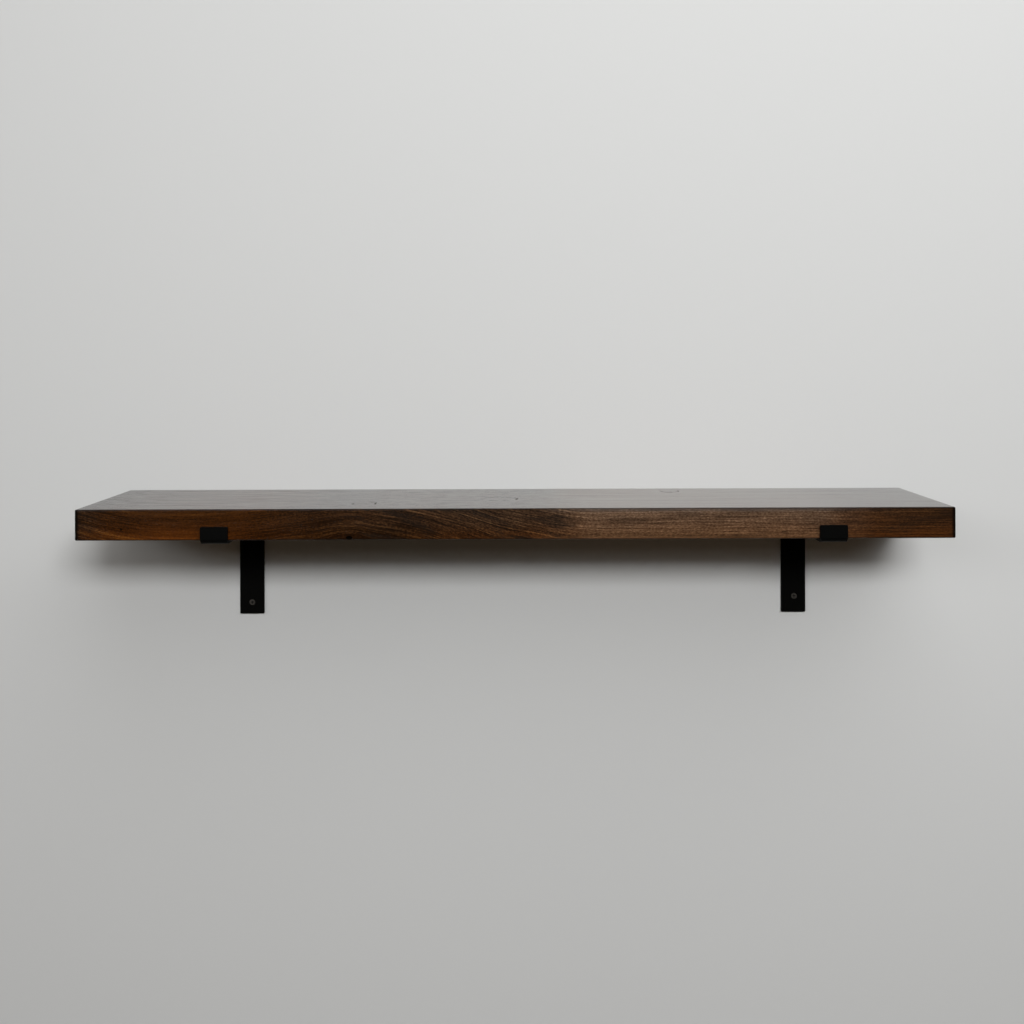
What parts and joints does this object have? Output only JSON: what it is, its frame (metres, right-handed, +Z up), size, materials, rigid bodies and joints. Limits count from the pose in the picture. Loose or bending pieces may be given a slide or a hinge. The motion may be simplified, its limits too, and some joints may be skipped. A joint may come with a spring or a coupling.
{
  "type": "bracket wall shelf",
  "caption": "Stained walnut plank resting on bent steel strap brackets with an upturned front lip, screwed to a wall through the bracket legs.",
  "frame": {"origin": "centre of the plank's back face, on the wall plane", "axes": "+X along the plank to the right as seen from the room, +Y into the wall, +Z up"},
  "size_m": [1.2192, 0.3059, 0.1954],
  "materials": {
    "walnut": "dark walnut stain under a satin clear coat, fine straight grain arching over a knot",
    "black_steel": "matte black powder coat",
    "screw_steel": "dark bronzed steel, cross recess",
    "plug_nylon": "grey nylon"
  },
  "bodies": {
    "root": {"shelf_board": "walnut", "bracket_left": "black_steel", "bracket_right": "black_steel", "wall_screw_left_upper": "screw_steel", "wall_screw_left_lower": "screw_steel", "wall_screw_right_upper": "screw_steel", "wall_screw_right_lower": "screw_steel", "shelf_screw_left_front": "screw_steel", "shelf_screw_left_rear": "screw_steel", "shelf_screw_right_front": "screw_steel", "shelf_screw_right_rear": "screw_steel", "wall_plug_left_upper": "plug_nylon", "wall_plug_left_lower": "plug_nylon", "wall_plug_right_upper": "plug_nylon", "wall_plug_right_lower": "plug_nylon"}
  },
  "joints": []
}
